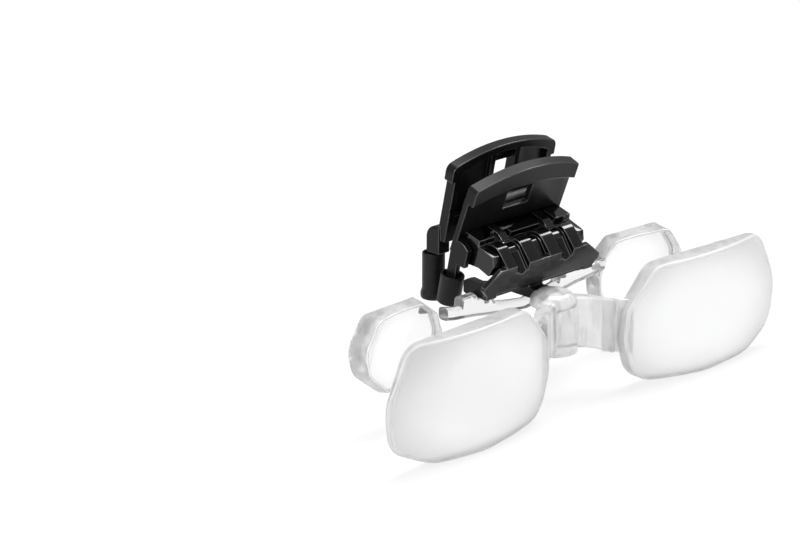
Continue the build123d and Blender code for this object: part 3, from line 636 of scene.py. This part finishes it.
rear_outline = rounded_outline(REAR_CORNERS, REAR_RADII, REAR_POINTS)
taper_mm = REAR_EDGE * math.tan(math.radians(REAR_TAPER_DEGREES))
rear_front = rear_outline + inward(rear_outline) * taper_mm
rear_rings = lens_rings(rear_outline, rear_front, hollow_depth, REAR_ROUND, REAR_BACK_Y, REAR_Z)
for side, eye in ((1, "left"), (-1, "right")):
    centre = (side * EYE_MM, REAR_Z)
    body = lens_plastic(f"rear_lens_plastic_{eye}", centre, REAR_HALF, milk_middle=0.08, milk_edge=0.20)
    lens = ring_piece(
        f"rear_lens_{eye}", eye_place(rear_rings, side), (body, rear_wall, rim), "optics", bands=LENS_BANDS,
    )
    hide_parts(f"ocular_{eye}")
print("rear lens", round(float(hollow_depth(0.0, 0.0)), 2), "mm thick in the middle")

# %% [markdown]
# ## A bar with a changing section
#
# The clear rail, the bridge's arms and their stubs are bars whose height and depth change along the way. A
# curve with a bevel object keeps one section all along, so each bar is a rounded rectangle carried along a
# path: at every step the path gives the middle, the direction across, and the four edges.


# %% Carry a rounded section along a path
def section(half_wide, half_high, radius, per_corner=6):
    """A rounded rectangle as points[step, point, 2]: quarter circles about four corner centres."""
    angles = (np.arange(4)[:, None] * 90 + np.linspace(0, 90, per_corner)[None, :]).ravel()
    angles = np.radians(angles)
    signs = np.repeat([(1, 1), (-1, 1), (-1, -1), (1, -1)], per_corner, axis=0)
    half_wide, half_high, radius = (np.asarray(value)[:, None] for value in (half_wide, half_high, radius))
    wide = signs[:, 0] * (half_wide - radius) + np.cos(angles) * radius
    high = signs[:, 1] * (half_high - radius) + np.sin(angles) * radius
    return np.stack([wide, high], -1)


def carried(x, y, low, high, half_depth, across, radius):
    """Rings of a bar: rounded rectangles about (x, y), from low to high, whose depth runs along across."""
    middle = (low + high) / 2
    flat = section(half_depth, (high - low) / 2, radius)
    wide = flat[..., :1] * across[:, None, :]
    return np.concatenate([
        np.stack([x, y], -1)[:, None, :] + wide, (middle[:, None] + flat[..., 1])[..., None],
    ], -1)


print("a section has", section([1.0], [1.0], [0.5]).shape[1], "points")

# %% [markdown]
# ## Rear rail
#
# A clear rail crosses under the black cradle and holds both rear lenses. It is low in the middle and has a
# raised block on each side, beside the cradle. It could be four blocks fused together, but one carried
# section whose top edge steps up and down is a single clean skin, which clear plastic needs: light would
# show every face left inside. The steps get more rings than the plain runs.

# %% Rear rail
RAIL_RUNS = (  # from, to, rings
    (0, 8.2, 24), (8.4, 10.2, 10), (10.5, 13.3, 8), (13.4, 13.9, 6), (14.1, 17.0, 8), (17.1, 17.6, 6),
    (17.9, 21.4, 10),
)
RAIL_Y, RAIL_HALF_DEPTH, RAIL_ROUND = -9.25, 1.25, 0.75
rail_x = np.concatenate([np.linspace(*run) for run in RAIL_RUNS])
rail_x = np.concatenate([-rail_x[:0:-1], rail_x])
RAIL_TOP = np.array([
    (0, -10.2), (3.2, -9.8), (8.4, -8.9), (9.2, -7.4), (10.0, -6.85), (13.45, -6.85), (13.75, -5.95),
    (17.2, -5.95), (17.5, -7.6), (19.0, -7.5), (21.6, -6.9),
])
RAIL_LOW = np.array([(0, -12.2), (6.0, -11.6), (14.0, -10.4), (19.0, -9.9), (21.6, -9.4)])
rail_top = np.interp(np.abs(rail_x), *RAIL_TOP.T)
rail_low = np.interp(np.abs(rail_x), *RAIL_LOW.T)
rail_across = np.tile([0.0, 1.0], (len(rail_x), 1))
rail_y, rail_half, rail_round = np.tile([[RAIL_Y], [RAIL_HALF_DEPTH], [RAIL_ROUND]], len(rail_x))
rail_rings = carried(rail_x, rail_y, rail_low, rail_top, rail_half, rail_across, rail_round)
rail = ring_piece("clear_rail", rail_rings, (clear_rail,), "optics", CREASE_DEGREES)
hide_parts("rear_bridge")
print("rail from", round(float(rail_low.min()), 2), "to", round(float(rail_top.max()), 2), "mm in height")

# %% [markdown]
# ## Soft sleeves
#
# Each prong wears a closed soft tube with a dark open mouth. A Screw modifier could turn a drawn profile,
# but the rings do it at once: they run from the bottom of the bore, up its wall, over the rounded lip, down
# the outside and round the foot. The front prongs lean forward, so a sleeve is made upright and then
# leaned.


# %% Turned shapes


def turned(profile_mm, around=64):
    """Rings of a turned shape: each (radius, height) of the profile makes one circle."""
    profile = np.asarray(profile_mm, float)
    angle = np.linspace(0, 2 * math.pi, around, endpoint=False)
    circle = np.stack([np.cos(angle), np.sin(angle), np.zeros(around)], -1)
    return profile[:, :1, None] * circle + profile[:, 1:, None] * np.array([0.0, 0.0, 1.0])


def arc(centre, radius, start, end, steps=6):
    """Points of an arc in (radius, height), by angle in degrees."""
    angle = np.radians(np.linspace(start, end, steps))
    return list(zip(centre[0] + radius * np.cos(angle), centre[1] + radius * np.sin(angle)))


def leaned(rings, lean_degrees, place_mm):
    """Rings turned about X by an angle, then moved to their place."""
    cosine, sine = math.cos(math.radians(lean_degrees)), math.sin(math.radians(lean_degrees))
    turn = np.array([[1, 0, 0], [0, cosine, -sine], [0, sine, cosine]])
    return rings @ turn.T + np.array(place_mm)


print("one turned ring has", turned([(1.0, 0.0)]).shape[1], "points")

# %% Soft sleeves
PRONG_TOP_Z = 0.2
AXIS = 0.05  # the ring nearest to the axis
BORE, MOUTH, LIP, FLOOR = 1.3, 1.85, 0.22, 0.8
LEDGE, SLOPE, BIT = 1.0, 0.08, 0.02  # the bore widens at a sloping ledge
UNDER_LIP = 0.4  # the outer wall's first ring under the lip
FOOT_ROUND, FOOT_UP, FOOT_LOW, FOOT_HIGH = 0.5, 0.75, 1.15, 2.15
FOOT_IN, FOOT_EASE = 0.03, 0.15  # rings that ease the cone between foot and outer wall
SLEEVES = (  # end, body, x, y, lean of its prong, (outer radius, foot radius, length, length of the prong)
    ("front", "clip", 13.1, -4.2, 12.0, (2.3, 2.3, 6.0, 9.2)),
    ("rear", "rear_lever", 11.7, 3.25, 0.0, (2.2, 2.5, 9.2, 9.8)),
)


def sleeve_profile(outer, foot, length, prong):
    """Bore, wide mouth, lip, outer wall and foot of a sleeve whose floor lies under the prong's tip."""
    bottom, bore_end = -(prong + FLOOR), -prong - AXIS
    top = bottom + length
    ledge = top - LEDGE
    profile = [(AXIS, bore_end), (1.0, bore_end), (BORE, bore_end), (BORE, ledge - SLOPE - BIT)]
    profile += [(BORE + SLOPE, ledge - BIT), (MOUTH - SLOPE, ledge + BIT), (MOUTH, ledge + SLOPE + BIT)]
    profile += [(MOUTH, top - LIP)] + arc((MOUTH + LIP, top - LIP), LIP, 180, 90)
    profile += arc((outer - LIP, top - LIP), LIP, 90, 0) + [(outer, top - LIP - UNDER_LIP)]
    if foot > outer:
        profile += [(outer, bottom + FOOT_HIGH), (outer + FOOT_IN, bottom + FOOT_HIGH - FOOT_EASE)]
        profile += [(foot - FOOT_IN, bottom + FOOT_LOW + FOOT_EASE), (foot, bottom + FOOT_LOW)]
    profile += [(foot, bottom + FOOT_UP)] + arc((foot - FOOT_ROUND, bottom + FOOT_ROUND), FOOT_ROUND, 0, -90)
    return profile + [(foot * 0.5, bottom), (AXIS, bottom)]


for side, eye in ((1, "left"), (-1, "right")):
    for where, body, x, y, lean, sizes in SLEEVES:
        tube = leaned(turned(sleeve_profile(*sizes)), lean, (side * x, y, PRONG_TOP_Z))
        sleeve = ring_piece(f"{where}_tube_{eye}", tube, (sleeve_skin,), body, CREASE_DEGREES)
        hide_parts(f"{where}_sleeve_{eye}")

# %% [markdown]
# ## Front bridge
#
# Two arms sweep forward from a leaning hub under a flattened dome, and all of it is one clear moulding. It
# could be sculpted, but then its sizes would be lost. So the three shapes are made as rings, a Boolean
# modifier joins them, a Remesh modifier gives them one even skin, and a Smooth modifier rounds the inner
# corners as a mould does.


# %% Modifiers made final
def evaluated(piece, material, body):
    """The piece with its modifiers applied, as a new plain mesh at the origin."""
    made = bpy.data.meshes.new_from_object(piece.evaluated_get(bpy.context.evaluated_depsgraph_get()))
    name = piece.name
    bpy.data.objects.remove(piece)
    made.name = name
    made.materials.clear()
    made.materials.append(material)
    made.polygons.foreach_set("use_smooth", np.ones(len(made.polygons), dtype=bool))
    done = bpy.data.objects.new(name, made)
    bpy.context.collection.objects.link(done)
    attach(done, body)
    print(name, len(made.polygons), "faces after its modifiers")
    return done


def smooth_run(points, x):
    """A smooth curve through four (x, value) points: the cubic c3 |x|^3 + c2 x^2 + c1 |x| + c0."""
    return np.polyval(np.polyfit(points[:, 0], points[:, 1], 3), np.abs(x))


print("the front bridge's tools are ready")

# %% Front bridge
BRIDGE_FRONT = np.array([(0.0, -20.5), (2.6, -20.5), (5.0, -21.4), (9.4, -24.8)])
BRIDGE_BACK = np.array([(0.0, -16.6), (2.6, -16.8), (5.0, -17.7), (9.4, -20.8)])
BRIDGE_TOP = np.array([(0.0, -8.2), (3.8, -8.1), (7.5, -8.7), (9.4, -9.1)])
BRIDGE_LOW = np.array([(0.0, -18.5), (3.4, -18.3), (6.0, -18.7), (9.4, -19.9)])
ARM_END, ARM_STEPS, ARM_ROUND = 9.38, 61, 0.5
HUB_RADIUS, HUB_FLAT, HUB_TALL, HUB_ROUND = 2.95, 2.2, 10.2, 0.65
HUB_LEAN, HUB_PLACE = -15.0, (0, -19.9, -19.1)
DOME_RADIUS, DOME_FOOT, DOME_FLAT, DOME_Y = 4.5, 4.4, 2.4, -17.0
DOME_LOW, DOME_SHOULDER, DOME_TOP = -9.6, -8.9, -6.75
VOXEL_MM, SMOOTHINGS, SMOOTH_SHARE = 0.16, 24, 0.5

arm_x = np.linspace(-ARM_END, ARM_END, ARM_STEPS)
arm_front, arm_back = smooth_run(BRIDGE_FRONT, arm_x), smooth_run(BRIDGE_BACK, arm_x)
arm_rings = carried(
    arm_x, (arm_front + arm_back) / 2, smooth_run(BRIDGE_LOW, arm_x), smooth_run(BRIDGE_TOP, arm_x),
    (arm_back - arm_front) / 2, np.tile([0.0, 1.0], (ARM_STEPS, 1)), np.full(ARM_STEPS, ARM_ROUND),
)
hub_corner = arc((HUB_RADIUS - HUB_ROUND, HUB_ROUND), HUB_ROUND, -90, 0)
hub_profile = [(AXIS, 0.0), (HUB_FLAT, 0.0)] + hub_corner + [(HUB_RADIUS, HUB_TALL), (AXIS, HUB_TALL)]
hub_rings = leaned(turned(hub_profile), HUB_LEAN, HUB_PLACE)
dome_profile = [(AXIS, DOME_LOW), (DOME_FOOT, DOME_LOW), (DOME_RADIUS, DOME_SHOULDER)]
dome_profile += arc((DOME_FLAT, DOME_SHOULDER), DOME_RADIUS - DOME_FLAT, 0, 90) + [(AXIS, DOME_TOP)]
dome_rings = turned(dome_profile) + np.array([0, DOME_Y, 0])
bridge = ring_piece("clear_front_bridge", arm_rings, (clear_bridge,), None)
hub = ring_piece("hub", hub_rings, (clear_bridge,), None)
dome = ring_piece("dome", dome_rings, (clear_bridge,), None)
for other in (hub, dome):
    fuse = bridge.modifiers.new("fuse_" + other.name, "BOOLEAN")
    fuse.operation, fuse.solver, fuse.object = "UNION", "EXACT", other
voxels = bridge.modifiers.new("voxels", "REMESH")
voxels.mode, voxels.voxel_size = "VOXEL", VOXEL_MM * MM
soften = bridge.modifiers.new("soften", "SMOOTH")
soften.factor, soften.iterations = SMOOTH_SHARE, SMOOTHINGS
bridge = evaluated(bridge, clear_bridge, "optics")
for other in (hub, dome):
    bpy.data.objects.remove(other)
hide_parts("front_bridge")

# %% [markdown]
# ## Stubs
#
# Each front lens carries a stub, a thick lug whose rounded end laps over the lens and whose other end is
# glued to the bridge's arm. It continues the arm's sweep. A Boolean would weld it to the lens, but it rides
# the same body, so a piece of its own is enough and keeps the lens's even rings. Its end is rounded by an
# ease that falls from 1 along the root of 1 - t^6, t being the share of the way.

# %% Stubs on the front lenses
STUB_STEPS, STUB_HALF, STUB_ROUND, STUB_DROP = 30, 1.45, 0.55, 0.9
STUB_ACROSS = (-0.56, 0.83)
STUB_POWER, STUB_LEAST = 6, 0.02
STUB_START = np.array([9.42, -22.8, -19.95, -9.15])  # x, y, low, top
STUB_WAY = np.array([3.3, -2.0, -0.5, -0.55])  # from the start to the rounded end

stub_t = np.linspace(0, 1, STUB_STEPS)
stub_x, stub_y, stub_low, stub_top = STUB_START[:, None] + STUB_WAY[:, None] * stub_t
ease = np.sqrt(np.clip(1 - stub_t ** STUB_POWER, STUB_LEAST, 1))
stub_across = np.tile(STUB_ACROSS, (STUB_STEPS, 1))
stub_rings = carried(
    stub_x, stub_y, stub_low + STUB_DROP * (1 - ease), stub_top - STUB_DROP * (1 - ease),
    STUB_HALF * ease, stub_across, STUB_ROUND * ease,
)
for side, eye in ((1, "left"), (-1, "right")):
    mirrored = stub_rings * np.array([side, 1, 1])
    stub = ring_piece(f"lens_stub_{eye}", mirrored, (clear_bridge,), "optics", CREASE_DEGREES)
    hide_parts(f"objective_{eye}")

# %% [markdown]
# ## Rounded copies of the black mouldings
#
# The levers, the housing, the carrier and the cradle keep their CAD shapes, but a moulding never has
# razor-sharp edges: a narrow round along each edge catches the light and makes the thin bright line seen on
# the real clip. A Bevel node could fake it in the shader, but the mesh itself wouldn't have it. The CAD mesh
# is loose triangles, so a copy is merged first, its flat faces are joined, and a Bevel modifier rounds what
# is sharper than its limit and gives the round its own finish, glossier and with a lighter colour that is a
# painted highlight. The two catch tongues are blackened like the housing.

# %% Round the edges of the black mouldings
MERGE_MM = 0.06
FLAT, SHARP = math.radians(0.6), math.radians(32)
ROUND_FACES = 2


def rounded_copy(node, name, finishes, body, width_mm):
    """A merged copy of a CAD node; its sharp edges get a round of width_mm in the second finish."""
    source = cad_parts[node]
    work = bmesh.new()
    work.from_mesh(source.data)
    bmesh.ops.remove_doubles(work, verts=work.verts, dist=MERGE_MM * MM)
    bmesh.ops.dissolve_limit(work, angle_limit=FLAT, verts=work.verts, edges=work.edges)
    mesh = bpy.data.meshes.new(name)
    work.to_mesh(mesh)
    work.free()
    mesh.materials.clear()
    for material in finishes:
        mesh.materials.append(material)
    mesh.polygons.foreach_set("use_smooth", np.ones(len(mesh.polygons), dtype=bool))
    mesh.set_sharp_from_angle(angle=SHARP)
    piece = bpy.data.objects.new(name, mesh)
    bpy.context.collection.objects.link(piece)
    round_edges = piece.modifiers.new("round_edges", "BEVEL")
    round_edges.width, round_edges.segments, round_edges.material = width_mm * MM, ROUND_FACES, 1
    round_edges.limit_method, round_edges.angle_limit = "ANGLE", SHARP
    round_edges.use_clamp_overlap, round_edges.harden_normals = False, True
    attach(piece, body)
    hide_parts(node)
    print(name, len(mesh.polygons), "faces before its bevel")


satin, smooth = (plastic, painted_highlight_satin_edge), (barrel_plastic, painted_highlight_polished_edge)
for node, name, finishes, body, width, slot in (
    ("front_jaw", "front_lever", satin, "clip", 0.16, "black_plastic"),
    ("rear_jaw", "rear_lever_plate", satin, "rear_lever", 0.16, "black_plastic"),
    ("hinge_housing", "hinge_cheeks", smooth, "clip", 0.14, "black_plastic"),
    ("carrier", "optics_carrier", smooth, "optics", 0.14, "black_plastic"),
    ("cradle", "optics_cradle", satin, "optics", 0.14, "black_plastic"),
    ("catch_tongue_left", "catch_strip_left", smooth, "clip", 0.10, "steel"),
    ("catch_tongue_right", "catch_strip_right", smooth, "clip", 0.10, "steel"),
):
    rounded_copy(node, name, finishes, body, width)

# %% [markdown]
# ## Steel pieces
#
# The pins, the spring, the screws and the cross rod behind the front window already have their right shape
# in CAD. A copy would add nothing, so they keep their meshes and only get their finish.

# %% Finish the steel pieces
metals = {
    "flip_pin": dark_steel, "jaw_pivot_pin": dark_steel, "jaw_spring": bright_steel,
    "cradle_screws": bright_steel, "cross_rod": rod_steel,
}
for node, metal in metals.items():
    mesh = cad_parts[node].data
    mesh.materials.clear()
    mesh.materials.append(metal)
print("steel pieces finished")

# %% [markdown]
# ## Floor and light
#
# The object stands on a pale floor under a white sky. A strong lamp would wash the floor white, but the
# shadow and the lenses' greys with it. So the floor mixes in a plain glow for the camera and for rays
# through glass, and keeps a soft shadow. Most light comes from a large soft lamp above, with one at each
# side.

# %% Floor
GLOW_SHARE = 0.78
FLOOR_GAP, FLOOR_HALF = 0.1, 4000
FLOOR_COLOUR = (0.86, 0.86, 0.865, 1.0)


def pale_floor(name):
    """Matt white that glows for the camera, for reflections and through glass.

    Each ray socket is 1 or 0, so 1 - (1 - a)(1 - b)(1 - c) is 1 when any of the three is.
    """
    paint = Finish(bpy.data.materials.new(name))
    camera_ray = paint.node("ShaderNodeLightPath", output="Is Camera Ray")
    glossy_ray = paint.node("ShaderNodeLightPath", output="Is Glossy Ray")
    glass_ray = paint.node("ShaderNodeLightPath", output="Is Transmission Ray")
    glowing = GLOW_SHARE * (1 - (1 - camera_ray) * (1 - glossy_ray) * (1 - glass_ray))
    matt = paint.node("ShaderNodeBsdfDiffuse", {}, {"Color": FLOOR_COLOUR})
    glow = paint.node("ShaderNodeEmission", {}, {"Color": grey(1.0), "Strength": 1.0})
    return paint.finish(paint.node("ShaderNodeMixShader", {}, {0: glowing, 1: matt, 2: glow}))


floor_z = cad_box[0][2] / MM - FLOOR_GAP
corners = np.array([(-1, -1), (1, -1), (1, 1), (-1, 1)]) * FLOOR_HALF
floor_mesh = bpy.data.meshes.new("floor")
floor_mesh.from_pydata((np.column_stack([corners, np.full(4, floor_z)]) * MM).tolist(), [], [(0, 1, 2, 3)])
floor_mesh.materials.append(pale_floor("pale_floor"))
floor = bpy.data.objects.new("floor", floor_mesh)
bpy.context.collection.objects.link(floor)
print("floor at", round(floor_z, 2), "mm")


# %% Lamps
LAMP_AIM_MM = Vector((0, -10, -10))
LAMPS = (  # name, place, side of the square, watts
    ("lamp_above", (120, 80, 720), 420, 4.6), ("lamp_left", (-650, 0, 380), 240, 2.6),
    ("lamp_right", (480, 40, 520), 200, 1.8),
)

for name, place_mm, size_mm, watts in LAMPS:
    data = bpy.data.lights.new(name, "AREA")
    data.shape, data.size, data.energy = "SQUARE", size_mm * MM, watts
    lamp = bpy.data.objects.new(name, data)
    aim = (LAMP_AIM_MM - Vector(place_mm)).to_track_quat("-Z", "Y").to_matrix().to_4x4()
    lamp.matrix_world = Matrix.Translation(Vector(place_mm) * MM) @ aim
    bpy.context.collection.objects.link(lamp)
    print(name, watts, "W")

# %% World
SKY_LOW, SKY_FROM, SKY_FILL = (0.66, 0.665, 0.68, 1.0), 0.7, 0.50
world = bpy.data.worlds.new("world")
bpy.context.scene.world = world
sky = Finish(world)
height = sky.node("ShaderNodeSeparateXYZ", {}, {0: sky.node("ShaderNodeTexCoord", output="Generated")}, "Z")
tint = sky.node("ShaderNodeValToRGB", {"stops": ((0.0, SKY_LOW), (SKY_FROM, grey(1.0)))}, {0: height})
fill = sky.node("ShaderNodeBackground", {}, {"Color": tint, "Strength": SKY_FILL})
white = sky.node("ShaderNodeBackground", {}, {"Color": grey(1.0), "Strength": 1.0})
seen = sky.node("ShaderNodeLightPath", output="Is Camera Ray")
sky.finish(sky.node("ShaderNodeMixShader", {}, {0: seen, 1: fill, 2: white}), "ShaderNodeOutputWorld")
print("the sky fills in, and is white to the camera")
